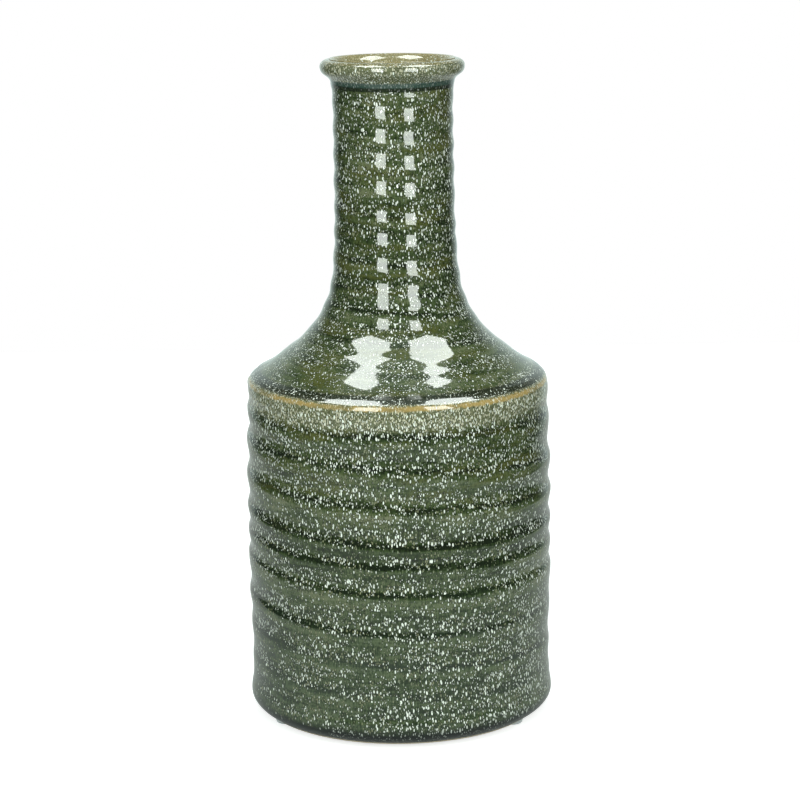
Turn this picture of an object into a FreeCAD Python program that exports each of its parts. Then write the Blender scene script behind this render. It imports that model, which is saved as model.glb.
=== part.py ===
import FreeCAD, Part
import os
import Sketcher

# A wheel-thrown stoneware bottle vase: a wide straight body, a sloping shoulder, a long narrow neck and
# a rolled rim. One fired pot carries a coat of glaze outside and a coat inside, and stands on three
# clear bumper pads. Lengths are millimetres, angles degrees. +Z points up along the axis that the pot
# was thrown on, -Y faces the viewer, and the origin is on that axis, level with the pads' undersides.

SIZES = {
    # Bumper pads
    "pad_radius": 5.0,
    "pad_height": 2.0,
    "pad_side": 0.7,
    "pad_flat_radius": 3.2,
    "first_pad_angle": 207.5,
    # Foot ring, left bare of glaze
    "foot_inset": 3.7,
    "foot_width": 11.0,
    "foot_chamfer": 0.5,
    "foot_reveal": 0.3,
    "foot_recess": 1.7,
    # Body and shoulder
    "body_radius": 69.1,
    "base_round": 7.0,
    "wall_height": 155.5,
    "wall_relief": 0.55,
    "shoulder_height": 48.5,
    # Neck and rim
    "neck_radius": 26.7,
    "neck_height": 86.0,
    "neck_flare": 1.2,
    "neck_relief": 0.25,
    "rim_overhang": 5.35,
    "rim_height": 9.5,
    # Inside
    "wall_thickness": 5.5,
    "neck_wall": 4.5,
    "floor_thickness": 6.5,
    "floor_round": 12.0,
    # Glaze
    "glaze_thickness": 0.6,
    "liner_thickness": 0.4,
}

PAD_NAMES = ("bumper_pad_left", "bumper_pad_right", "bumper_pad_back")

# Levels, from the ground up. The foot ring's bottom has a chamfer on both sides.
ZERO = "0"
GROUND = ZERO
FOOT = "sizes.pad_height"
CHAMFER_TOP = f"({FOOT} + sizes.foot_chamfer)"
RECESS = f"({CHAMFER_TOP} + sizes.foot_recess)"
GLAZE_LINE = f"({CHAMFER_TOP} + sizes.foot_reveal)"
BASE_TOP = f"({GLAZE_LINE} + sizes.base_round)"
EDGE = f"({GLAZE_LINE} + sizes.wall_height)"
NECK_FOOT = f"({EDGE} + sizes.shoulder_height)"
RIM_FOOT = f"({NECK_FOOT} + sizes.neck_height)"
FLOOR = f"({RECESS} + sizes.floor_thickness)"
FLOOR_ROUND_TOP = f"({FLOOR} + sizes.floor_round)"
INNER_EDGE = f"({EDGE} - sizes.wall_thickness)"

# Distances from the axis.
AXIS = ZERO
BODY = "sizes.body_radius"
NECK = "sizes.neck_radius"
FOOT_OUTSIDE = f"({BODY} - sizes.foot_inset)"
FOOT_INSIDE = f"({FOOT_OUTSIDE} - sizes.foot_width)"
FOOT_MIDDLE = f"({FOOT_OUTSIDE} - sizes.foot_width / 2)"
INNER_WALL = f"({BODY} - sizes.wall_thickness)"
INNER_FLOOR = f"({INNER_WALL} - sizes.floor_round)"
THROAT = f"({NECK} - sizes.neck_wall)"

# The base rounds out from the foot to the wall: share of the way out, share of the rounding's height.
BASE_SHARES = ((0.50, 0.16), (1.12, 0.44), (1.38, 0.90))

# The throwing rings of the wall, from the base up: share of the height between the base's rounding and
# the shoulder's edge, and how far out or in the ring goes as a share of the wall's relief.
WALL_RING_SHARES = (
    (0.033, 0.05), (0.079, -0.45), (0.124, -0.05), (0.178, -0.85), (0.263, 0.65), (0.337, -0.45),
    (0.393, 0.95), (0.438, -0.45), (0.485, 0.85), (0.526, -0.45), (0.565, 0.75), (0.610, -0.75),
    (0.661, 0.75), (0.712, -0.65), (0.770, 0.85), (0.830, -1.00), (0.888, 0.05), (0.918, -1.05),
    (0.950, -0.25), (0.974, -0.75),
)

# The shoulder, from its outer edge up to the neck: share of the way out from neck to body, and share of
# the shoulder's height. Its shallow steps are throwing rings too.
EDGE_SHARES = ((0.975, 0.012), (0.905, 0.038))
SHOULDER_SHARES = (
    (0.820, 0.066), (0.707, 0.130), (0.592, 0.222), (0.474, 0.285), (0.381, 0.365), (0.313, 0.428),
    (0.232, 0.505), (0.172, 0.610), (0.122, 0.690), (0.085, 0.800), (0.040, 0.894),
)

# The throwing rings of the neck, from the shoulder up: share of the neck's height, share of its flare, and
# how far out or in the ring goes as a share of the neck's relief.
NECK_RING_SHARES = (
    (0.029, 0.75, 0.60), (0.093, 0.65, -0.45), (0.163, 0.45, 0.60), (0.233, 0.22, -0.50),
    (0.297, 0.08, 0.60), (0.372, 0.00, -0.50), (0.442, 0.00, 0.55), (0.517, 0.00, -0.55),
    (0.581, 0.00, 0.60), (0.663, 0.00, -0.45), (0.721, 0.00, 0.45), (0.797, -0.05, -0.65),
    (0.849, 0.00, 0.30), (0.919, 0.05, -0.45), (0.970, 0.20, 0.00),
)

# The rolled rim, from under the roll over its top to the mouth's edge, and on down the throat: share of
# the rim's overhang beyond the neck, and share of the rim's height, with the way that the glaze faces.
RIM_SHARES = (
    ((0.04, 0.06), (1.00, 0.00)),
    ((0.30, 0.20), (0.80, -0.60)),
    ((0.98, 0.40), (0.80, -0.50)),
    ((1.10, 0.74), (1.00, 0.00)),
    ((0.74, 0.98), (0.60, 0.80)),
    ((0.32, 1.03), (0.00, 0.90)),
    ((0.06, 0.94), (-0.25, 0.44)),
)
THROAT_SHARES = (
    ((0.62, 0.84), (-0.80, 0.60)),
    ((0.20, 0.52), (-1.00, 0.20)),
    ((0.03, 0.00), (-1.00, 0.00)),
    ((0.00, -0.90), (-1.00, 0.00)),
)

# Where the plain stretches of the inside are led on: down the neck, down the wall and over the floor.
INNER_NECK_SHARES = (0.60, 0.25, 0.05)
INNER_WALL_SHARES = (0.94, 0.65, 0.30, 0.00)
INNER_FLOOR_SHARES = (1.00, 0.70, 0.35)

# The pad's dome: where its control point lies between the flat underside's edge and the pad's side.
PAD_DOME_SHARE = 0.6

# The way the glaze faces on the shoulder's edge and slope, and how much it pools in a ring's valley.
EDGE_FACING = (0.35, 0.30)
SLOPE_FACING = (0.60, 0.70)
POOLING_SHARE = 0.6

# A smooth curve goes a third of the way to control points that swing to and fro.
SWING = 3
DEGREE = 3
EQUAL_WEIGHT = 1

# Sketch numbering: the origin and its two axes, and the start, end and centre of a piece of geometry.
ORIGIN = -1
LEVEL_AXIS = -1
UPRIGHT_AXIS = -2
START, END, CENTRE = range(1, 4)
FULL_TURN = 360
TOWARDS_FRONT = FreeCAD.Vector(0, 0, 1)


def between(low, high, share):
    """The formula of a place that lies a share of the way from low to high."""
    return f"({low} + ({high} - {low}) * {share})"


def spot(radius, height, coat, facing):
    """A point of the clay's outline, with the point of the glaze that covers it."""
    out, up = facing
    return {
        "clay": (radius, height),
        "glaze": (f"{radius} + {coat} * {out}", f"{height} + {coat} * {up}"),
    }


def ring_spots(shares, radius, relief, low, high):
    """Throwing rings about a radius: the glaze lies thin on a ring and pools in the valley between two."""
    spots = []
    for height_share, swing_share in shares:
        ring_radius = f"{radius} + {SWING} * {relief} * {swing_share}"
        facing = (1 - POOLING_SHARE * swing_share, 0)
        spots.append(spot(ring_radius, between(low, high, height_share), "sizes.glaze_thickness", facing))
    return spots


def neck_spots():
    """The neck's rings, flared a little at the foot of the neck, where they follow the shoulder."""
    spots = []
    for height_share, flare_share, swing_share in NECK_RING_SHARES:
        radius = f"{NECK} + sizes.neck_flare * {flare_share}"
        spots += ring_spots([(height_share, swing_share)], radius, "sizes.neck_relief", NECK_FOOT, RIM_FOOT)
    return spots


def outside_spots():
    """The outside of the pot, from the lowest glazed line to the mouth's edge."""
    coat = "sizes.glaze_thickness"
    spots = [spot(FOOT_OUTSIDE, GLAZE_LINE, coat, (1, 0))]
    for out_share, height_share in BASE_SHARES:
        radius = between(FOOT_OUTSIDE, BODY, out_share)
        spots.append(spot(radius, between(GLAZE_LINE, BASE_TOP, height_share), coat, (1, 0)))
    spots += ring_spots(WALL_RING_SHARES, BODY, "sizes.wall_relief", BASE_TOP, EDGE)
    for shares, facing in ((EDGE_SHARES, EDGE_FACING), (SHOULDER_SHARES, SLOPE_FACING)):
        for out_share, height_share in shares:
            radius = between(NECK, BODY, out_share)
            spots.append(spot(radius, between(EDGE, NECK_FOOT, height_share), coat, facing))
    spots += neck_spots()
    for (out_share, height_share), facing in RIM_SHARES:
        radius = f"{NECK} + sizes.rim_overhang * {out_share}"
        height = f"{RIM_FOOT} + sizes.rim_height * {height_share}"
        spots.append(spot(radius, height, coat, facing))
    return spots


def inside_spots():
    """The inside of the pot, from the mouth's edge down to the middle of the floor."""
    coat = "sizes.liner_thickness"
    mouth_edge = outside_spots()[-1]
    spots = [mouth_edge]
    mouth_radius = f"({mouth_edge['clay'][0]})"
    for (out_share, height_share), facing in THROAT_SHARES:
        height = f"{RIM_FOOT} + sizes.rim_height * {height_share}"
        spots.append(spot(between(THROAT, mouth_radius, out_share), height, coat, facing))
    for height_share in INNER_NECK_SHARES:
        spots.append(spot(THROAT, between(NECK_FOOT, RIM_FOOT, height_share), coat, (-1, 0)))
    out, up = SLOPE_FACING
    for out_share, height_share in reversed(SHOULDER_SHARES):
        radius = between(THROAT, INNER_WALL, out_share)
        height = between(INNER_EDGE, NECK_FOOT, height_share)
        spots.append(spot(radius, height, coat, (-out, -up)))
    for height_share in INNER_WALL_SHARES:
        height = between(FLOOR_ROUND_TOP, INNER_EDGE, height_share)
        spots.append(spot(INNER_WALL, height, coat, (-1, 0)))
    spots.append(spot(INNER_WALL, FLOOR, coat, (-1, 1)))
    for out_share in INNER_FLOOR_SHARES:
        spots.append(spot(f"{INNER_FLOOR} * {out_share}", FLOOR, coat, (0, 1)))
    spots.append(spot(AXIS, FLOOR, coat, (0, 1)))
    return spots


def side(spots, name):
    """The clay's points or the glaze's points of a row of spots."""
    return [points[name] for points in spots]


def corners(*points):
    """Straight runs from each point to the next."""
    return [[point] for point in points]


def evaluated(sketch, point):
    """Where a point of an outline lies now, worked out from its two formulas."""
    radius, height = point
    return FreeCAD.Vector(float(sketch.evalExpression(radius)), float(sketch.evalExpression(height)), 0)


def pins(sketch, piece, end, point):
    """What holds one point of a piece of sketch geometry: its two formulas, or an axis where one is zero."""
    place = evaluated(sketch, point)
    holds = []
    sides = (("DistanceX", point[0], place.x, UPRIGHT_AXIS), ("DistanceY", point[1], place.y, LEVEL_AXIS))
    for kind, formula, value, axis in sides:
        if formula == ZERO:
            holds.append((Sketcher.Constraint("PointOnObject", piece, end, axis), None))
        else:
            holds.append((Sketcher.Constraint(kind, ORIGIN, START, piece, end, value), formula))
    return holds


def draw_straight(sketch, points):
    """A straight line, and what holds its far end."""
    start, end = (evaluated(sketch, point) for point in points)
    line = sketch.addGeometry(Part.LineSegment(start, end))
    return line, pins(sketch, line, END, points[1])


def draw_smooth(sketch, points):
    """A smooth curve led by its control points, and what holds each of them but the first."""
    places = [evaluated(sketch, point) for point in points]
    knots = list(range(len(places) - DEGREE + 1))
    repeats = [1] * len(knots)
    repeats[0] = DEGREE + 1
    repeats[-1] = DEGREE + 1
    shape = Part.BSplineCurve()
    shape.buildFromPolesMultsKnots(places, repeats, knots, False, DEGREE)
    curve = sketch.addGeometry(shape)
    holds = []
    for number, place in enumerate(places):
        mark = sketch.addGeometry(Part.Circle(place, TOWARDS_FRONT, EQUAL_WEIGHT), True)
        kind = "InternalAlignment:Sketcher::BSplineControlPoint"
        holds.append((Sketcher.Constraint(kind, mark, CENTRE, curve, number), None))
        holds.append((Sketcher.Constraint("Weight", mark, EQUAL_WEIGHT), None))
        if number > 0:
            holds += pins(sketch, mark, CENTRE, points[number])
    return curve, holds


def draw_outline(sketch, runs):
    """A closed outline. Each run goes on from the last one's end: straight to one point, or smoothly
    by way of several."""
    start = runs[-1][-1]
    drawn = []
    holds = []
    for run in runs:
        draw = draw_straight if len(run) == 1 else draw_smooth
        piece, piece_holds = draw(sketch, [start] + run)
        drawn.append(piece)
        holds += piece_holds
        start = run[-1]
    for number, piece in enumerate(drawn):
        holds.append((Sketcher.Constraint("Coincident", drawn[number - 1], END, piece, START), None))
    held = sketch.addConstraint([constraint for constraint, formula in holds])
    for number, (constraint, formula) in zip(held, holds):
        if formula:
            sketch.setExpression(f"Constraints[{number}]", formula)


def turned_body(document, name, runs):
    """A piece turned about the upright axis from an outline drawn in the plane of X and Z."""
    body = document.addObject("PartDesign::Body", name)
    body.Label = name
    plane = next(feature for feature in body.Origin.OriginFeatures if feature.Role == "XZ_Plane")
    sketch = body.newObject("Sketcher::SketchObject", f"{name}_outline")
    sketch.AttachmentSupport = [(plane, "")]
    sketch.MapMode = "FlatFace"
    draw_outline(sketch, runs)
    turned = body.newObject("PartDesign::Revolution", f"{name}_turned")
    turned.Profile = sketch
    turned.ReferenceAxis = (sketch, ["V_Axis"])
    turned.Angle = FULL_TURN
    return body


def cut(document, name, form, tool):
    """A piece that is what is left of one form when another is taken out of it."""
    piece = document.addObject("Part::Cut", name)
    piece.Label = name
    piece.Base = form
    piece.Tool = tool
    return piece


def pot_and_glazes(document):
    """The fired pot and its two coats of glaze, each what lies between two turned forms.

    The forms go from the outside in: out to the glaze, out to the clay, the hollow in the clay, and the
    air that the inner glaze leaves. The two coats meet in a narrow face at the mouth's edge.
    """
    outside = outside_spots()
    inside = inside_spots()
    lowest = outside[0]
    mouth = outside[-1]
    mouth_level = mouth["clay"][1]
    mouth_middle = (AXIS, mouth["glaze"][1])
    foot = corners(
        (AXIS, mouth_level),
        (AXIS, RECESS),
        (f"{FOOT_INSIDE} - sizes.foot_chamfer", RECESS),
        (FOOT_INSIDE, CHAMFER_TOP),
        (f"{FOOT_INSIDE} + sizes.foot_chamfer", FOOT),
        (f"{FOOT_OUTSIDE} - sizes.foot_chamfer", FOOT),
        (FOOT_OUTSIDE, CHAMFER_TOP),
        lowest["clay"],
    )
    core = corners(mouth["clay"], (AXIS, mouth_level), (AXIS, EDGE), lowest["clay"], lowest["glaze"])
    hollow_top = corners(mouth_middle, mouth["glaze"], mouth["clay"])
    air_top = corners(mouth_middle, mouth["glaze"])
    clay_form = turned_body(document, "clay_form", [side(outside, "clay")[1:]] + foot)
    glaze_form = turned_body(document, "glaze_form", [side(outside, "glaze")[1:]] + core)
    hollow_form = turned_body(document, "hollow_form", [side(inside, "clay")[1:]] + hollow_top)
    air_form = turned_body(document, "air_form", [side(inside, "glaze")[1:]] + air_top)
    return [
        cut(document, "stoneware_body", clay_form, hollow_form),
        cut(document, "outer_glaze", glaze_form, clay_form),
        cut(document, "inner_glaze", hollow_form, air_form),
    ]


def bumper_pad(document, name, number):
    """A clear self-adhesive pad: a flat top under the foot ring, a domed edge and a flat underside."""
    side_foot = f"({FOOT} - sizes.pad_side)"
    dome = [
        ("sizes.pad_radius", f"{side_foot} / 2"),
        (between("sizes.pad_flat_radius", "sizes.pad_radius", PAD_DOME_SHARE), GROUND),
        ("sizes.pad_flat_radius", GROUND),
    ]
    side_runs = corners(("sizes.pad_radius", FOOT), ("sizes.pad_radius", side_foot))
    runs = side_runs + [dome] + corners((AXIS, GROUND), (AXIS, FOOT))
    body = turned_body(document, name, runs)
    angle = f"sizes.first_pad_angle + {FULL_TURN} * {number} / {len(PAD_NAMES)}"
    body.setExpression("Placement.Base.x", f"{FOOT_MIDDLE} * cos({angle})")
    body.setExpression("Placement.Base.y", f"{FOOT_MIDDLE} * sin({angle})")
    return body


def fill_sheet(document):
    """The driving sizes, one named cell each."""
    sheet = document.addObject("Spreadsheet::Sheet", "sizes")
    for row, (name, value) in enumerate(SIZES.items(), start=1):
        sheet.set(f"A{row}", name)
        sheet.set(f"B{row}", str(value))
        sheet.setAlias(f"B{row}", name)
    document.recompute()


def build(document):
    """Every separate piece of the vase, each an object with its own label."""
    fill_sheet(document)
    pieces = pot_and_glazes(document)
    for number, name in enumerate(PAD_NAMES):
        pieces.append(bumper_pad(document, name, number))
    document.recompute()
    return pieces


def check(document, pieces):
    """Stop before anything is written if an object failed or a piece isn't one sound solid."""
    for item in document.Objects:
        if "Invalid" in item.State or "Error" in item.State:
            raise RuntimeError(f"{item.Label} failed: {item.State}")
    for piece in pieces:
        shape = piece.Shape
        if shape.isNull() or not shape.isValid() or len(shape.Solids) != 1:
            raise RuntimeError(f"{piece.Label} is not one valid solid")


def write(pieces):
    """One STEP file for each piece, named by its label."""
    os.makedirs("parts", exist_ok=True)
    for piece in pieces:
        piece.Shape.exportStep(f"parts/{piece.Label}.step")
        box = piece.Shape.BoundBox
        size = f"{box.XLength:.1f} x {box.YLength:.1f} x {box.ZLength:.1f} mm"
        print(f"{piece.Label}: {piece.Shape.Volume:.0f} mm3, {size}")


vase = FreeCAD.newDocument("bottle_vase")
vase_pieces = build(vase)
check(vase, vase_pieces)
write(vase_pieces)
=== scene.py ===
import bpy
import math
from mathutils import Matrix, Vector, noise


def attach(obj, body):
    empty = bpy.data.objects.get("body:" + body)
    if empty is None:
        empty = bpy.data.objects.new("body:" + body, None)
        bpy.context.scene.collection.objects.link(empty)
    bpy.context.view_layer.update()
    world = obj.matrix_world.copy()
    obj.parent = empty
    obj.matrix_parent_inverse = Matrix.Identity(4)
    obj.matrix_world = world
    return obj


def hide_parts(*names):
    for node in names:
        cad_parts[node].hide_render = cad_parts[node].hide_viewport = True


# A wheel-thrown stoneware bottle vase: a fired pot, a speckled green glaze outside and inside, and three
# clear pads under the foot. Lengths are millimetres here and metres in the scene. +Z is up along the axis
# the pot was thrown on, -Y faces the viewer, and the origin is on that axis, level with the pads' undersides.

# AROUND is the number of columns of vertices round the pot.
MM = 0.001
AROUND = 144
QUARTER = math.pi / 2
FULL_TURN = 2 * math.pi

# The outside of the glaze as distance from the axis and height, from the foot line up to the rim's crown.
FOOT_LINE = 2.8
EDGE_HEIGHT = 158.0
CROWN = (28.3, 302.75)
OUTSIDE = (
    (66.0, FOOT_LINE), (67.4, 3.6), (69.0, 5.0), (70.2, 6.8), (70.6, 8.9), (70.3, 12.0), (69.7, 15.5),
    (69.45, 20.0), (69.3, 33.0), (69.5, 45.0), (69.8, 60.0), (69.9, 75.0), (69.8, 95.0), (69.8, 110.0),
    (69.6, 123.0), (69.2, 135.0), (69.0, 145.0), (68.95, 153.0), (68.8, 155.6), (68.55, 157.0),
    (67.9, EDGE_HEIGHT + 0.2), (66.7, 159.3), (65.4, 160.35), (64.0, 161.05), (60.8, 162.8), (57.8, 164.8),
    (55.2, 166.8), (52.6, 168.8), (50.1, 170.8), (47.3, 172.8), (44.95, 174.8), (41.2, 178.8), (37.7, 182.8),
    (35.1, 186.8), (33.05, 190.8), (31.3, 194.8), (30.1, 198.8), (29.0, 204.8), (28.25, 212.0),
    (27.7, 222.0), (27.3, 233.0), (27.2, 248.0), (27.1, 263.0), (27.0, 275.0), (27.1, 283.0), (27.35, 289.0),
    (27.7, 291.8), (28.2, 293.6), (29.2, 294.8), (30.7, 295.9), (31.8, 296.9), (32.4, 298.1), (32.6, 299.5),
    (32.35, 300.7), (31.6, 301.7), (30.2, 302.5), CROWN,
)

# The face of the inner glaze, from the crown down the throat and the wall to the middle of the floor.
INSIDE = (
    CROWN, (26.9, 302.2), (25.4, 300.6), (24.1, 298.0), (22.9, 294.0), (22.1, 289.0), (21.8, 283.0),
    (21.8, 260.0), (21.8, 235.0), (22.0, 218.0), (22.6, 206.0), (24.4, 196.0), (28.5, 185.5),
    (34.5, 175.8), (41.5, 167.8), (50.0, 161.6), (57.0, 157.3), (61.4, 153.0), (63.1, 146.5),
    (63.2, 130.0), (63.2, 90.0), (63.2, 50.0), (63.2, 26.0), (62.2, 18.0), (58.8, 13.0), (52.0, 11.2),
    (35.0, 11.1), (18.0, 11.1), (0.0, 11.1),
)

# How thick the two coats of glaze are, and how far out from the inside the middle of the wall lies.
GLAZE_THICKNESS = 0.6
LINER_THICKNESS = 0.4
HALF_WALL = 2.2

# The unglazed foot: a ring with both its lower edges eased, and a recess inside it.
FOOT_OUTSIDE = 65.7
FOOT_INSIDE = 54.4
FOOT_BOTTOM = 2.0
FOOT_EASING = 0.5
RECESS = 4.2

# Clear pads under the foot ring, as angles from the right-hand side.
PAD_ANGLES = (207.5, 327.5, 87.5)
PAD_NAMES = ("clear_pad_left", "clear_pad_right", "clear_pad_back")
PAD_NODES = ("bumper_pad_left", "bumper_pad_right", "bumper_pad_back")
PAD_RADIUS = 5.0
PAD_EASING = 1.1

# The throwing rings are one groove that winds down the pot. For each turn: the height of its step, where the
# wall comes out below the groove, at the left, front and right; how far the wall swings there, as half the
# depth; and how much of the way to the next turn a step takes. From the full depth on, a ring marks the glaze
# fully. The inside follows a ring by its own share, and level clay by another.
TURNS = (
    ((292.8, 290.0, 288.0), (0.00, 0.10, 0.15), 0.25),
    ((286.3, 280.8, 277.8), (0.20, 0.25, 0.25), 0.25),
    ((274.8, 270.8, 266.8), (0.25, 0.25, 0.25), 0.25),
    ((262.8, 259.8, 256.3), (0.25, 0.25, 0.25), 0.25),
    ((250.8, 247.8, 244.8), (0.25, 0.25, 0.25), 0.25),
    ((238.8, 234.3, 229.8), (0.25, 0.25, 0.25), 0.25),
    ((227.8, 225.3, 221.8), (0.25, 0.20, 0.25), 0.25),
    ((216.8, 213.3, 207.8), (0.30, 0.30, 0.30), 0.25),
    ((203.3, 200.5, 196.8), (0.25, 0.25, 0.25), 0.25),
    ((193.8, 192.8, 187.3), (0.25, 0.25, 0.25), 0.25),
    ((183.3, 179.8, 176.8), (0.20, 0.20, 0.20), 0.25),
    ((172.8, 168.8, 164.8), (0.15, 0.15, 0.12), 0.12),
    ((158.8, 156.8, 154.8), (0.00, 0.00, 0.15), 0.25),
    ((146.8, 144.3, 142.3), (0.45, 0.30, 0.45), 0.22),
    ((133.8, 129.8, 122.8), (0.65, 0.30, 0.60), 0.20),
    ((117.3, 112.3, 107.3), (0.60, 0.40, 0.60), 0.20),
    ((101.3, 94.6, 93.5), (0.58, 0.40, 0.50), 0.19),
    ((89.3, 85.8, 82.3), (0.40, 0.30, 0.40), 0.20),
    ((78.3, 72.8, 70.8), (0.50, 0.45, 0.50), 0.14),
    ((60.3, 54.3, 52.8), (0.60, 0.36, 0.20), 0.17),
    ((45.8, 39.8, 34.8), (0.30, 0.25, 0.30), 0.20),
    ((29.8, 24.8, 20.8), (0.20, 0.15, 0.20), 0.22),
    ((14.8, 10.8, 6.8), (0.00, 0.00, 0.00), 0.25),
)
LAST_PITCH = 12.0
FULL_DEPTH = 0.36
INNER_SHARE = 0.5
LEVEL_SHARE = 0.35
RING_MARKS = ("ring_step", "ring_groove", "ring_crest")

# The neck leans a little to the left, the rim dips a little to the back, and the wall is a little uneven.
LEAN = -0.6
LEAN_FROM = 150.0
RIM_DIP = -0.0214
DIP_FROM = 272.0
DIP_TO = 292.0
WOBBLE = 0.12
WOBBLE_SPREAD = (30, 30, 9)

# The studio: the light that comes from all round, the tint that the glaze mirrors, and the table's middle.
ROOM_LIGHT = 0.42
ROOM_TINT = (0.84, 1.0, 0.97)
TABLE_PLACE = (-0.05, 0.12, -0.00002)

# The camera, in metres and degrees, as fitted to the photograph.
CAMERA_PLACE = (0.000968, -1.1692, 0.4122)
CAMERA_PITCH = 12.841
CAMERA_ROLL = -0.737
LENS = 116.95

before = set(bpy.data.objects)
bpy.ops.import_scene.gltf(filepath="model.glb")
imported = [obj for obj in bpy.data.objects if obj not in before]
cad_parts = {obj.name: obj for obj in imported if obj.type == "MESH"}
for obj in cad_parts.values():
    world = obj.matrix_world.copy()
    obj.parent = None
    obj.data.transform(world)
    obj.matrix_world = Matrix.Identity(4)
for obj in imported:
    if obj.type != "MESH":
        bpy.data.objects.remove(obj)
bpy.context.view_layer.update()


# Outlines

def curve_point(before, start, end, after, share):
    """A point of the smooth line through four points, between the middle two."""
    square = share * share
    cube = square * share
    weights = (
        -cube + 2 * square - share, 3 * cube - 5 * square + 2, -3 * cube + 4 * square + share, cube - square,
    )
    points = (before, start, end, after)
    return tuple(sum(weight * point[axis] for weight, point in zip(weights, points)) / 2 for axis in (0, 1))


def smooth_line(points, spacing):
    """Points along the smooth line through an outline's points, no further apart than the spacing there."""
    padded = [points[0], *points, points[-1]]
    line = [points[0]]
    for before, start, end, after in zip(padded, padded[1:], padded[2:], padded[3:]):
        parts = max(1, math.ceil(math.dist(start, end) / spacing((start[1] + end[1]) / 2)))
        for part in range(1, parts + 1):
            line.append(curve_point(before, start, end, after, part / parts))
    return line


def beside(line, distance):
    """The line moved sideways, to the left of its own run."""
    moved = []
    for number, (radius, height) in enumerate(line):
        before = line[max(number - 1, 0)]
        after = line[min(number + 1, len(line) - 1)]
        along = Vector((after[0] - before[0], after[1] - before[1])).normalized()
        moved.append((max(radius - along.y * distance, 0.0), height + along.x * distance))
    return moved


def row_spacing(height):
    """Rows lie closer on the rim, the shoulder's edge and the base, which curve tightly."""
    if height > 290 or EDGE_HEIGHT - 3 < height < EDGE_HEIGHT + 5 or height < 14:
        return 0.7
    return 1.4


def liner_spacing(height):
    """Rows of the inside, closest at the mouth."""
    return 0.8 if height > 290 else 4.0


# Throwing rings

def turn_heights():
    """The heights of the winding groove at each azimuth share, from the left by way of the front: one list of
    heights, top down, for each of the columns of vertices."""
    knots = []
    for number, turn in enumerate(TURNS):
        for part, height in zip((0.0, 0.25, 0.5), turn[0]):
            knots.append((number + part, height))
    columns = []
    for column in range(AROUND):
        part = column / AROUND
        columns.append([height_at(knots, number + part) for number in range(len(TURNS))])
    return columns


def height_at(knots, turn):
    """The groove's height after so many turns, on a smooth line through the knots."""
    last = len(knots) - 1
    start = max(number for number, knot in enumerate(knots) if knot[0] <= turn or number == 0)
    end = min(start + 1, last)
    if start == end:
        return knots[last][1] - (turn - knots[last][0]) * LAST_PITCH
    share = (turn - knots[start][0]) / (knots[end][0] - knots[start][0])
    slopes = []
    for number in (start, end):
        low = knots[max(number - 1, 0)]
        high = knots[min(number + 1, last)]
        slopes.append((high[1] - low[1]) / (high[0] - low[0]))
    span = knots[end][0] - knots[start][0]
    square = share * share
    cube = square * share
    return (
        (2 * cube - 3 * square + 1) * knots[start][1]
        + (cube - 2 * square + share) * span * slopes[0]
        + (3 * square - 2 * cube) * knots[end][1]
        + (cube - square) * span * slopes[1]
    )


def depth_at(number, part):
    """Half the depth of a turn's step at an azimuth share."""
    following = TURNS[min(number + 1, len(TURNS) - 1)][1][0]
    stops = (0.0, 0.25, 0.5, 1.0)
    values = (*TURNS[number][1], following)
    for low, high, start, end in zip(stops, stops[1:], values, values[1:]):
        if part <= high:
            return start + (end - start) * (part - low) / (high - low)
    return following


def eased(value, low, high):
    """A smooth step from 0 at low to 1 at high."""
    share = min(max((value - low) / (high - low), 0.0), 1.0)
    return share * share * (3 - 2 * share)


def hump(value, start, top, end):
    """0 at start, 1 at the top and 0 again at the end."""
    return eased(value, start, top) * (1 - eased(value, top, end))


def ring_swing(share, step):
    """The wall between one step and the next: out to a crest below the step, and back in to a groove."""
    if share < step:
        return math.sin(QUARTER * share / step)
    if share > 1 - step:
        return -math.sin(QUARTER * (1 - share) / step)
    return math.cos(math.pi * (share - step) / (1 - 2 * step))


GROOVE = turn_heights()


def azimuth_share(x, y):
    """How far round a point lies, from the left by way of the front, as a share of a full turn."""
    return (math.atan2(y, x) / FULL_TURN + 0.5) % 1.0


def ring_at(x, y, height):
    """How far the rings move the wall out at a point, in millimetres, and their marks there: a step, with
    painted shade dark in the glaze where the wall faces down, the groove above it, crowded with crystals, and
    the thin crest below it."""
    part = azimuth_share(x, y)
    heights = GROOVE[round(part * AROUND) % AROUND]
    if height >= heights[0] or height < heights[-1]:
        return 0.0, (0.0, 0.0, 0.0)
    number = max(index for index, level in enumerate(heights) if level >= height)
    number = min(number, len(heights) - 2)
    share = (heights[number] - height) / (heights[number] - heights[number + 1])
    nearest = number if share < 0.5 else number + 1
    depth = depth_at(nearest, part)
    strength = min(1.0, depth / FULL_DEPTH)
    step = 1 - eased(min(share, 1 - share), 0.02, 0.12)
    marks = (step, eased(share, 0.5, 0.8), hump(share, 0.12, 0.24, 0.5))
    return depth * ring_swing(share, TURNS[nearest][2]), [strength * mark for mark in marks]


# Mesh work

def select_only(piece):
    """Selects one object and makes it the active one."""
    bpy.ops.object.select_all(action="DESELECT")
    piece.select_set(True)
    bpy.context.view_layer.objects.active = piece


def start_piece(name):
    """The new primitive under its own name, alone and in edit mode."""
    piece = bpy.context.active_object
    piece.name = name
    piece.data.name = name
    bpy.ops.object.mode_set(mode="EDIT")
    return piece


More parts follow.
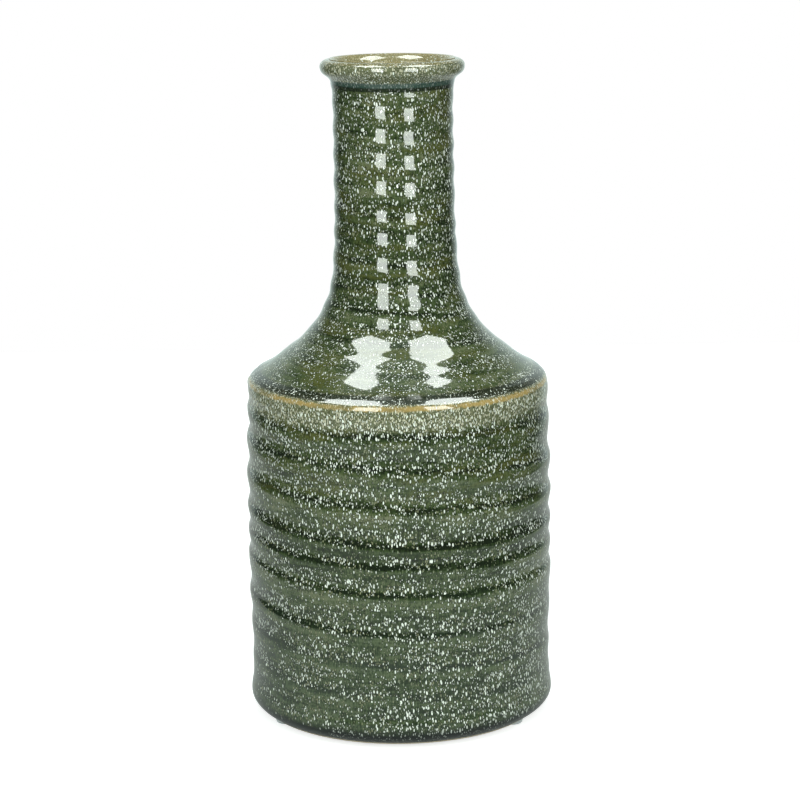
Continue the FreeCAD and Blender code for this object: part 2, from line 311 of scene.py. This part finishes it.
def chain(name, line):
    """A line of vertices in the plane of X and Z, pulled out of one corner of a plane."""
    bpy.ops.object.select_all(action="DESELECT")
    bpy.ops.mesh.primitive_plane_add(size=MM)
    piece = start_piece(name)
    bpy.ops.mesh.select_all(action="SELECT")
    bpy.ops.mesh.merge(type="CENTER")
    bpy.ops.transform.translate(value=(line[0][0] * MM, 0, line[0][1] * MM))
    for start, end in zip(line, line[1:]):
        step = ((end[0] - start[0]) * MM, 0, (end[1] - start[1]) * MM)
        bpy.ops.mesh.extrude_region_move(TRANSFORM_OT_translate={"value": step})
    return piece


def turned(name, line, flip=False):
    """The line turned once round the axis, its seam and poles closed."""
    piece = chain(name, line)
    bpy.ops.mesh.select_all(action="SELECT")
    bpy.ops.mesh.spin(steps=AROUND, angle=FULL_TURN, center=(0, 0, 0), axis=(0, 0, 1))
    bpy.ops.mesh.select_all(action="SELECT")
    bpy.ops.mesh.remove_doubles(threshold=MM / 50)
    bpy.ops.mesh.normals_make_consistent(inside=flip)
    bpy.ops.object.mode_set(mode="OBJECT")
    bpy.ops.object.shade_smooth()
    return piece


def thicken(piece, thickness):
    """Gives a skin its thickness, away from its face."""
    shell = piece.modifiers.new("thickness", "SOLIDIFY")
    shell.thickness = thickness * MM
    shell.offset = -1
    shell.use_even_offset = True
    select_only(piece)
    bpy.ops.object.modifier_apply(modifier=shell.name)


def throw(piece, wall_middle=None):
    """Gives a turned piece its hand-thrown surface: the rings, a slight unevenness, the leaning neck and the
    dipping rim. Points nearer the axis than the middle of the wall follow the rings less."""
    mesh = piece.data
    layers = [mesh.attributes.new(name, "FLOAT", "POINT") for name in RING_MARKS]
    flats = [vertex.normal.to_2d().length for vertex in mesh.vertices]
    for number, (vertex, flat) in enumerate(zip(mesh.vertices, flats)):
        x, y, z = vertex.co / MM
        radius = math.hypot(x, y)
        swing, marks = ring_at(x, y, z)
        place = Vector([part / spread for part, spread in zip((x, y, z), WOBBLE_SPREAD)])
        wobble = WOBBLE * noise.noise(place)
        if wall_middle is not None and radius < wall_middle(z):
            swing *= INNER_SHARE
        if radius > 1:
            out = Vector((x, y, 0)) / radius
            steep = LEVEL_SHARE + (1 - LEVEL_SHARE) * flat
            x, y, z = Vector((x, y, z)) + out * (swing + wobble) * steep
        x += LEAN * eased(z, LEAN_FROM, CROWN[1])
        z += RIM_DIP * y * eased(z, DIP_FROM, DIP_TO)
        vertex.co = Vector((x, y, z)) * MM
        for layer, mark in zip(layers, marks):
            layer.data[number].value = mark


# Shader maths

class Wire:
    """A socket in a node tree. Sums with it add Math nodes."""

    def __init__(self, paint, socket):
        self.paint = paint
        self.socket = socket

    def maths(self, operation, *others):
        """A Math node on this socket and the others."""
        return self.paint.maths(operation, self, *others)

    def __add__(self, other):
        return self.maths("ADD", other)

    __radd__ = __add__

    def __sub__(self, other):
        return self.maths("SUBTRACT", other)

    def __rsub__(self, other):
        return self.paint.maths("SUBTRACT", other, self)

    def __mul__(self, other):
        return self.maths("MULTIPLY", other)

    __rmul__ = __mul__

    def __truediv__(self, other):
        return self.maths("DIVIDE", other)

    def __rtruediv__(self, other):
        return self.paint.maths("DIVIDE", other, self)

    def least(self, other):
        """The smaller of the two."""
        return self.maths("MINIMUM", other)

    def most(self, other):
        """The larger of the two."""
        return self.maths("MAXIMUM", other)

    def rise(self, low, high):
        """0 up to low, 1 from high, and a smooth step between."""
        return self.paint.node(
            "ShaderNodeMapRange", {"interpolation_type": "SMOOTHSTEP"},
            {"Value": self, "From Min": low, "From Max": high},
        )

    def hump(self, centre, half, soft):
        """1 within half of the centre, falling softly to 0 on both sides."""
        below = self.rise(centre - half - soft, centre - half)
        return below * (1 - self.rise(centre + half, centre + half + soft))


class Paint:
    """The node tree of a material or of the world."""

    def __init__(self, owner, ending="ShaderNodeOutputMaterial"):
        self.owner = owner
        owner.use_nodes = True
        self.tree = owner.node_tree
        self.tree.nodes.clear()
        self.ending = self.tree.nodes.new(ending)

    def node(self, kind, settings=None, inputs=(), output=0):
        """Any node: its settings first, then its sockets, by number or by name. Gives one output."""
        made = self.tree.nodes.new(kind)
        for name, value in (settings or {}).items():
            if name == "stops":
                self.fill_ramp(made.color_ramp, value)
            else:
                setattr(made, name, value)
        pairs = inputs.items() if isinstance(inputs, dict) else enumerate(inputs)
        for key, value in pairs:
            if isinstance(value, Wire):
                self.tree.links.new(value.socket, made.inputs[key])
            else:
                made.inputs[key].default_value = value
        return Wire(self, made.outputs[output])

    def fill_ramp(self, ramp, stops):
        """Sets a ramp's stops from (place, colour) pairs."""
        while len(ramp.elements) < len(stops):
            ramp.elements.new(1)
        for element, (place, colour) in zip(ramp.elements, stops):
            element.position = place
            element.color = (*colour, 1)

    def maths(self, operation, *values):
        """A Math node."""
        return self.node("ShaderNodeMath", {"operation": operation}, values)

    def outputs(self, wire, *names):
        """Outputs of the node that a wire comes from."""
        return [Wire(self, wire.socket.node.outputs[name]) for name in names]

    def parts(self, vector):
        """The three parts of a vector or colour."""
        return self.outputs(self.node("ShaderNodeSeparateXYZ", {}, [vector]), "X", "Y", "Z")

    def mix(self, share, low, high):
        """A colour between two."""
        colours = {6: low, 7: high}
        for key, value in colours.items():
            if not isinstance(value, Wire):
                colours[key] = (*value, 1)
        return self.node("ShaderNodeMix", {"data_type": "RGBA"}, {0: share, **colours}, 2)

    def vectors(self, operation, *values):
        """A Vector Math node."""
        return self.node("ShaderNodeVectorMath", {"operation": operation}, values)

    def cloud(self, place, scale, detail=3.0, rough=0.5):
        """Soft noise from 0 to 1."""
        inputs = {"Vector": place, "Scale": scale, "Detail": detail, "Roughness": rough}
        return self.node("ShaderNodeTexNoise", {}, inputs)

    def bump(self, relief, strength):
        """A normal that is roughened by a relief from 0 to 1."""
        inputs = {"Height": relief, "Distance": BUMP_DEPTH, "Strength": strength}
        return self.node("ShaderNodeBump", {}, inputs, "Normal")

    def seen(self):
        """1 for rays that come from the camera, also those through something clear, and 0 for others."""
        straight = self.node("ShaderNodeLightPath", {}, (), "Is Camera Ray")
        return straight.most(self.outputs(straight, "Is Transmission Ray")[0])

    def finish(self, shader):
        """Ties the shader to the tree's end and gives what the tree belongs to."""
        self.tree.links.new(shader.socket, self.ending.inputs["Surface"])
        return self.owner


# Finishes. Colours are linear. Heights are in millimetres, and azimuths in degrees to the right of the front.

BUMP_DEPTH = 0.2 * MM
OLIVE_STOPS = (
    (0.26, (0.009, 0.015, 0.007)),
    (0.40, (0.021, 0.036, 0.013)),
    (0.50, (0.041, 0.066, 0.024)),
    (0.60, (0.072, 0.104, 0.042)),
    (0.74, (0.138, 0.165, 0.085)),
)
YELLOW_OLIVE = (0.084, 0.098, 0.024)
# Slate greys painted into the lower wall as a reflection of the pale studio and table.
DARK_SLATE_REFLECTION = (0.018, 0.034, 0.018)
PALE_SLATE_REFLECTION = (0.084, 0.122, 0.064)
GREEN_GRAIN = (0.20, 0.27, 0.18)
YELLOW_GRAIN = (0.33, 0.36, 0.20)
GRAIN_HALO = (0.010, 0.013, 0.005)
BEIGE = (0.225, 0.250, 0.140)
BEIGE_GRAIN = (0.60, 0.63, 0.44)
BEIGE_HALO = (0.028, 0.035, 0.014)
MOUTH_OCHRE = (0.36, 0.32, 0.15)
EDGE_OCHRE = (0.40, 0.30, 0.095)
EDGE_SHADE = (0.009, 0.015, 0.009)
CRYSTAL = (0.88, 0.99, 0.86)
CRYSTAL_HALO = (0.007, 0.010, 0.004)
RIM_POOL = (0.035, 0.075, 0.065)
RIM_SHADE = (0.008, 0.014, 0.010)
FOOT_SHADE = (0.004, 0.008, 0.007)
CLAY_TONES = ((0.66, 0.58, 0.43), (0.78, 0.71, 0.56))
CLAY_GRIT = (0.32, 0.24, 0.15)
PLASTIC_TONES = ((0.84, 0.95, 0.95), (0.95, 1.0, 1.0))
PLASTIC_TINT = (0.90, 0.97, 0.96, 1)

# Kinds of speck: the size of a cell in millimetres, a speck's radius as a share of it, and a drift that keeps
# the kinds apart.
LARGE = (1.28, 0.35, (0.0, 0.0, 0.0))
SMALL = (0.86, 0.37, (0.013, 0.027, 0.041))
GRAIN = (0.74, 0.50, (0.043, 0.009, 0.037))
FINE = (0.66, 0.60, (0.031, 0.017, 0.023))
WIGGLE = 0.3 * MM


class Glaze(Paint):
    """Olive-green stoneware glaze with pale crystals, which breaks to ochre and beige where it is thin. Warm
    is how far it turns to ochre towards the mouth."""

    def __init__(self, name, warm):
        super().__init__(bpy.data.materials.new(name))
        self.warm = warm
        self.place = self.node("ShaderNodeTexCoord", {}, (), "Object")
        east, north, up = self.parts(self.place)
        self.height = up / MM
        self.azimuth = east.maths("ARCTAN2", north * -1) * (180 / math.pi)
        self.step, self.groove, self.crest = [
            self.node("ShaderNodeAttribute", {"attribute_name": mark}, (), "Fac") for mark in RING_MARKS
        ]
        self.blotches = self.stretched_cloud(2.5, 60, 4.0, 0.6)
        self.runs = self.stretched_cloud(0.25, 1500, 2.0, 0.6)
        self.crowd = self.stretched_cloud(6, 44, 4.0, 0.62).rise(0.42, 0.60)
        self.grain_place = self.wiggly_place()

        # Places on the pot
        height, azimuth = self.height, self.azimuth
        self.neck = height.rise(184, 200)
        # Painted shade: the neck is darker at its sides, where the light falls off.
        self.shaded_neck_sides = (azimuth.rise(35, 75) * 1.3 + 1 - azimuth.rise(-75, -35)) * height.rise(188, 204)
        # Painted reflection: the lower wall turns towards slate grey.
        self.reflecting_low_wall = 1 - height.rise(20, 110)
        self.left_foot = (1 - azimuth.rise(-75, -30)) * (1 - height.rise(50, 75))
        ragged = height + (self.cloud(self.place, 300, 3.0) - 0.5) * 7
        below_edge = ragged.hump(EDGE_HEIGHT - 4, 4.5, 5.0)
        self.thin = (below_edge + ragged.rise(290.5, 296.5) * 0.85).least(1)

    def stretched_cloud(self, squash, scale, detail, rough):
        """Noise that runs round the pot where squash is above 1, and down the wall where it is below."""
        return self.cloud(self.vectors("MULTIPLY", self.place, (1, 1, squash)), scale, detail, rough)

    def wiggly_place(self):
        """The place for the specks, which are taller than wide and a little uneven."""
        inputs = {"Vector": self.place, "Scale": 900.0, "Detail": 1.0}
        wiggle = self.node("ShaderNodeTexNoise", {}, inputs, "Color")
        wiggle = self.vectors("MULTIPLY", wiggle, (WIGGLE, WIGGLE, WIGGLE))
        return self.vectors("ADD", self.vectors("MULTIPLY", self.place, (1, 1, 0.42)), wiggle)

    def specks(self, kind, amount):
        """Specks that float in the glaze: at most one in each cell of a random lattice. Amount is the share
        of the cells that hold one. Gives the specks and a halo round them."""
        size, reach, drift = kind
        moved = self.vectors("ADD", self.grain_place, drift)
        inputs = {"Vector": moved, "Scale": 1 / (size * MM)}
        cell = self.node("ShaderNodeTexVoronoi", {"feature": "F1"}, inputs)
        dice, luck, spare = self.parts(self.outputs(cell, "Color")[0])
        held = (amount - dice).rise(0.0, 0.02)
        near = cell / ((luck * 0.55 + 0.45) * reach)
        return (1 - near.rise(0.75, 1.05)) * held * (spare * 0.25 + 0.75), (1 - near.rise(1.0, 1.8)) * held

    def ground(self):
        """Streaks that run round the pot, blotches, and fine runs down the wall, from near black to olive;
        painted shade on the steps and the neck's sides, and painted reflection on the lower wall.
        """
        height = self.height
        streaks = self.stretched_cloud(8, 60, 6.0, 0.62)
        tone = streaks * 0.7 + self.blotches * 0.3 + (self.runs - 0.5) * 0.62
        # Painted shade: the glaze is darker on each ring's step, where the wall faces down.
        tone = tone + self.crest * 0.10 - self.step * 0.24
        tone = tone + height.hump(272, 22, 16) * 0.07 + height.hump(169, 4, 6) * 0.07
        tone = tone + height.hump(112, 7, 6) * 0.05 - height.hump(90, 7, 6) * 0.07
        # Painted reflection: the right of the lower wall, and a band near 76 mm there, lighter as if
        # mirroring the table.
        right_wall_reflection = self.azimuth.rise(40, 65) * (self.reflecting_low_wall * 0.05 + height.hump(76, 6, 6) * 0.15)
        tone = tone + height.hump(74, 6, 6) * 0.03 + right_wall_reflection
        # Painted shade darkens the neck's sides.
        tone = tone - self.shaded_neck_sides * 0.08 - self.left_foot * 0.06
        olive = self.node("ShaderNodeValToRGB", {"stops": OLIVE_STOPS}, [tone])
        yellowed = self.stretched_cloud(5, 34, 3.0, 0.6).rise(0.48, 0.66) * height.rise(92, 128)
        olive = self.mix(yellowed * 0.7, olive, YELLOW_OLIVE)
        # Painted reflection: slate grey from dark to pale, mixed into the lower wall.
        slate_reflection = self.mix(tone.rise(0.36, 0.66), DARK_SLATE_REFLECTION, PALE_SLATE_REFLECTION)
        return self.mix(self.reflecting_low_wall * 0.6, olive, slate_reflection)

    def crowding(self):
        """How thickly the crystals lie: most in the grooves and in patches, here from the top down."""
        height, azimuth = self.height, self.azimuth
        patches = (
            height.hump(268, 22, 12) * 0.42
            + height.hump(222, 26, 14) * azimuth.hump(35, 35, 25) * 0.45
            + height.hump(139, 12, 8) * 0.45
            + height.hump(104, 6, 5) * azimuth.hump(5, 30, 25) * 0.40
            - height.hump(90, 5, 4) * azimuth.hump(5, 35, 25) * 0.30
            + height.hump(34, 28, 14) * azimuth.hump(45, 28, 22) * 0.30
            + height.hump(13, 8, 6) * azimuth.hump(22, 26, 20) * 0.50
        )
        amount = 0.20 + self.crowd * 0.70 + self.groove * 0.72 + patches
        # Fewer pale crystals at the neck's sides are part of the painted shade there.
        return amount - self.crest * 0.22 - self.step * 0.3 - self.shaded_neck_sides * 0.22 - self.left_foot * 0.2

    def add_grain(self, surface):
        """Dull small grain everywhere, and fine beige grain where the glaze is thin."""
        share = 0.34 + self.groove * 0.2 + self.crowd * 0.48
        grain, halo = self.specks(GRAIN, share)
        tone = self.mix(self.blotches.rise(0.35, 0.65), GREEN_GRAIN, YELLOW_GRAIN)
        surface = self.mix(halo * 0.7, surface, GRAIN_HALO)
        surface = self.mix(grain * 0.75, surface, tone)
        fine, halo = self.specks(FINE, self.thin * 0.95)
        surface = self.mix(self.thin * 0.55, surface, BEIGE)
        surface = self.mix(halo * 0.8, surface, BEIGE_HALO)
        surface = self.mix(fine * 0.95, surface, BEIGE_GRAIN)
        return self.mix(self.height.rise(276, 296) * self.warm, surface, MOUTH_OCHRE)

    def ochre(self):
        """Where the glaze runs off the shoulder's edge, in a broken line, and off the mouth."""
        line = self.height + (self.cloud(self.place, 500, 2.0) - 0.5) * 2.2
        broken = self.cloud(self.place, 45, 2.0).rise(0.38, 0.52) * 0.65 + 0.15
        mouth = self.height.rise(301.6, 302.3) * self.runs.rise(0.35, 0.6)
        return (line.hump(EDGE_HEIGHT - 1, 0.5, 0.9) * broken + mouth * 0.3).least(1)

    def add_pools_and_shade(self, surface, crystals):
        """Dark teal glaze that pooled under the rim, a line of painted shade just below it under the bead,
        and painted shade on the rounded foot.
        """
        surface = self.mix(self.height.hump(293.0, 0.7, 1.0) * 0.8, surface, RIM_POOL)
        # Painted shade: a dark line under the rim's bead.
        surface = self.mix(self.height.hump(291.2, 0.5, 0.8) * 0.8, surface, RIM_SHADE)
        # Painted shade: the rounded foot, which faces down towards the table, is darkened.
        foot = 1 - self.height.rise(6.5, 11.5)
        return self.mix(foot * 0.95 * (1 - crystals * 0.3), surface, FOOT_SHADE)

    def fired(self):
        """The finished material."""
        amount = self.crowding()
        large, large_halo = self.specks(LARGE, amount * (1 - self.neck * 0.35))
        small, small_halo = self.specks(SMALL, amount * 1.2 + self.neck * 0.2)
        ochre = self.ochre()
        crystals = large.most(small * 0.85) * (1 - ochre * 0.5)
        halo = large_halo.most(small_halo) * (1 - self.thin * 0.7)

        surface = self.add_grain(self.ground())
        surface = self.mix(halo * 0.72, surface, CRYSTAL_HALO)
        surface = self.mix(self.height.hump(EDGE_HEIGHT + 2.2, 1.0, 1.0) * 0.85, surface, EDGE_SHADE)
        surface = self.mix(ochre, surface, EDGE_OCHRE)
        surface = self.mix(crystals, surface, CRYSTAL)
        surface = self.add_pools_and_shade(surface, crystals)
        return self.finish(self.node("ShaderNodeBsdfPrincipled", {}, {
            "Base Color": surface, "Roughness": crystals * 0.12 + 0.05, "IOR": 1.52,
            "Normal": self.bump(crystals * 0.3 + self.blotches * 0.6, 0.5),
        }))


def bare_clay():
    """Bare fired stoneware, pale and fine."""
    paint = Paint(bpy.data.materials.new("bare_stoneware"))
    place = paint.node("ShaderNodeTexCoord", {}, (), "Object")
    grit = paint.cloud(place, 1400, 4.0, 0.7)
    stain = paint.cloud(place, 70, 3.0, 0.5)
    surface = paint.mix(grit.rise(0.55, 0.72) * 0.6, paint.mix(stain, *CLAY_TONES), CLAY_GRIT)
    return paint.finish(paint.node("ShaderNodeBsdfPrincipled", {}, {
        "Base Color": surface, "Roughness": 0.85, "Normal": paint.bump(grit, 0.7),
    }))


def clear_plastic():
    """Clear soft plastic with a little dust in it."""
    paint = Paint(bpy.data.materials.new("clear_soft_plastic"))
    place = paint.node("ShaderNodeTexCoord", {}, (), "Object")
    dust = paint.cloud(place, 900, 3.0, 0.6)
    skin = paint.node("ShaderNodeBsdfPrincipled", {}, {
        "Base Color": paint.mix(dust, *PLASTIC_TONES), "Roughness": 0.2, "IOR": 1.45,
    })
    clear = paint.node("ShaderNodeBsdfTransparent", {}, [PLASTIC_TINT])
    return paint.finish(paint.node("ShaderNodeMixShader", {}, [dust * 0.5 + 0.35, clear, skin]))


# Pieces

def finished(piece, material, node):
    """Dresses a piece and ties it to the frame."""
    piece.data.materials.clear()
    piece.data.materials.append(material)
    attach(piece, "root")
    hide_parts(node)


def inner_radius(line, height):
    """How far the inside lies from the axis at a height."""
    for start, end in zip(line, line[1:]):
        if end[1] <= height <= start[1] and start[1] > end[1]:
            return end[0] + (start[0] - end[0]) * (height - end[1]) / (start[1] - end[1])
    return 0.0


def make_pot():
    """The fired pot, its outer glaze and its inner glaze."""
    outside = smooth_line(OUTSIDE, row_spacing)
    inside = smooth_line(INSIDE, liner_spacing)
    clay_outside = beside(smooth_line(OUTSIDE, lambda height: 3.0), GLAZE_THICKNESS)
    clay_inside = beside(smooth_line(INSIDE, lambda height: 4.0), LINER_THICKNESS)
    foot = [
        (0.0, RECESS), (FOOT_INSIDE / 2, RECESS), (FOOT_INSIDE - FOOT_EASING, RECESS),
        (FOOT_INSIDE, FOOT_BOTTOM + FOOT_EASING), (FOOT_INSIDE + FOOT_EASING, FOOT_BOTTOM),
        (FOOT_OUTSIDE - FOOT_EASING, FOOT_BOTTOM), (FOOT_OUTSIDE, FOOT_BOTTOM + FOOT_EASING),
    ]

    def wall_middle(height):
        return inner_radius(inside, height) + HALF_WALL

    coat = turned("speckled_glaze", outside)
    throw(coat)
    thicken(coat, GLAZE_THICKNESS)
    finished(coat, Glaze("speckled_green_glaze", 0.0).fired(), "outer_glaze")

    liner = turned("inner_glaze_coat", inside, True)
    throw(liner, wall_middle)
    thicken(liner, LINER_THICKNESS)
    finished(liner, Glaze("inner_green_glaze", 0.5).fired(), "inner_glaze")

    pot = turned("fired_clay_pot", foot + clay_outside + clay_inside[1:])
    throw(pot, wall_middle)
    select_only(pot)
    bpy.ops.object.shade_smooth_by_angle(angle=math.radians(35))
    finished(pot, bare_clay(), "stoneware_body")


def model_pad():
    """One pad on the axis: a disc with its lower edge rounded off."""
    bpy.ops.object.select_all(action="DESELECT")
    bpy.ops.mesh.primitive_cylinder_add(vertices=48, radius=PAD_RADIUS * MM, depth=FOOT_BOTTOM * MM)
    pad = start_piece("clear_pad")
    bpy.ops.mesh.select_all(action="SELECT")
    bpy.ops.transform.translate(value=(0, 0, FOOT_BOTTOM / 2 * MM))
    bpy.ops.mesh.select_all(action="DESELECT")
    bpy.ops.object.mode_set(mode="OBJECT")
    for edge in pad.data.edges:
        ends = [pad.data.vertices[number].co for number in edge.vertices]
        edge.select = all(end.z < MM / 10 for end in ends)
    bpy.ops.object.mode_set(mode="EDIT")
    bpy.ops.mesh.bevel(offset=PAD_EASING * MM, segments=5, profile=0.5)
    bpy.ops.object.mode_set(mode="OBJECT")
    bpy.ops.object.shade_smooth_by_angle(angle=math.radians(50))
    return pad


def make_pads():
    """The clear pads: one is modelled, and each piece is a copy with its own mesh."""
    material = clear_plastic()
    model = model_pad()
    shape = model.data
    middle = (FOOT_OUTSIDE + FOOT_INSIDE) / 2 * MM
    for name, node, angle in zip(PAD_NAMES, PAD_NODES, PAD_ANGLES):
        pad = model.copy()
        pad.data = shape.copy()
        pad.name = name
        pad.data.name = name
        bpy.context.collection.objects.link(pad)
        turn = math.radians(angle)
        pad.data.transform(Matrix.Translation((middle * math.cos(turn), middle * math.sin(turn), 0)))
        finished(pad, material, node)
    bpy.data.objects.remove(model)
    bpy.data.meshes.remove(shape)


# Studio

def add_softbox(name, direction, target, size, brightness, glossy):
    """A soft box that faces a point on the axis. Its direction is in degrees to the right of the viewer and
    degrees up, its target a height and a distance, and its brightness that of its face. The glaze mirrors a
    glossy box, which lights nothing else."""
    light = bpy.data.lights.new(name, "AREA")
    light.shape = "RECTANGLE"
    light.size, light.size_y = size
    light.energy = brightness * math.pi * size[0] * size[1]
    light.color = (0.94, 1.0, 0.96) if glossy else (1, 1, 1)
    box = bpy.data.objects.new(name, light)
    around, rise = (math.radians(angle) for angle in direction)
    away = Vector((math.sin(around) * math.cos(rise), -math.cos(around) * math.cos(rise), math.sin(rise)))
    box.location = Vector((0, 0, target[0])) + away * target[1]
    box.rotation_euler = away.to_track_quat("Z", "Y").to_euler()
    box.visible_camera = False
    box.visible_glossy = glossy
    box.visible_diffuse = not glossy
    bpy.context.collection.objects.link(box)


def make_lights():
    """Boxes that the glaze mirrors, and wider ones that light the vase evenly."""
    for name, around in (("front_left_box", -23), ("front_right_box", 30)):
        add_softbox(name, (around, 0), (0.40, 0.5), (0.16, 0.42), 13, True)
    for name, direction in (("top_left_box", (-75, 69)), ("top_right_box", (77, 65))):
        add_softbox(name, direction, (0.2, 1.4), (0.70, 0.6), 15, True)
    for name, around in (("fill_left_box", -24), ("fill_right_box", 28), ("fill_back_box", 180)):
        add_softbox(name, (around, 34), (0.2, 1.8), (1.2, 1.2), 3.9, False)


def make_room():
    """A room that the camera sees white. The glaze sees it dark in front, and pale behind and overhead."""
    world = bpy.data.worlds.new("white_room")
    bpy.context.scene.world = world
    paint = Paint(world, "ShaderNodeOutputWorld")
    north, up = paint.parts(paint.node("ShaderNodeTexCoord", {}, (), "Generated"))[1:]
    glossy = paint.node("ShaderNodeLightPath", {}, (), "Is Glossy Ray")
    mirrored = (north.rise(0.55, 0.95) * 0.91 + 0.04).most(up.rise(0.80, 0.97) * 0.7)
    light = (mirrored - ROOM_LIGHT) * glossy + ROOM_LIGHT
    seen = paint.seen()
    paint.finish(paint.node("ShaderNodeBackground", {}, {
        "Color": paint.mix(glossy, (1, 1, 1), ROOM_TINT), "Strength": light * (1 - seen) + seen,
    }))


def make_table():
    """A pale table that keeps the vase's shadow and glows a little for the camera."""
    bpy.ops.object.select_all(action="DESELECT")
    bpy.ops.mesh.primitive_plane_add(size=1)
    table = bpy.context.active_object
    table.name = "table"
    table.data.transform(Matrix.Diagonal((0.8, 1.4, 1, 1)))
    table.data.transform(Matrix.Translation(TABLE_PLACE))
    paint = Paint(bpy.data.materials.new("white_table"))
    plain = paint.node("ShaderNodeBsdfDiffuse", {}, {"Color": (0.50, 0.55, 0.53, 1)})
    glow = paint.node("ShaderNodeEmission", {}, {"Color": (1, 1, 1, 1), "Strength": paint.seen() * 0.74})
    table.data.materials.append(paint.finish(paint.node("ShaderNodeAddShader", {}, [plain, glow])))


def make_camera():
    """The photograph's view: its place, pitch, roll and lens."""
    data = bpy.data.cameras.new("camera")
    data.lens = LENS
    data.sensor_width = 36
    camera = bpy.data.objects.new("camera", data)
    pitch = Matrix.Rotation(math.radians(90 - CAMERA_PITCH), 4, "X")
    roll = Matrix.Rotation(math.radians(CAMERA_ROLL), 4, "Z")
    camera.matrix_world = Matrix.Translation(CAMERA_PLACE) @ pitch @ roll
    bpy.context.collection.objects.link(camera)
    bpy.context.scene.camera = camera


make_pot()
make_pads()
make_lights()
make_room()
make_table()
make_camera()
bpy.context.scene.view_settings.view_transform = "Standard"
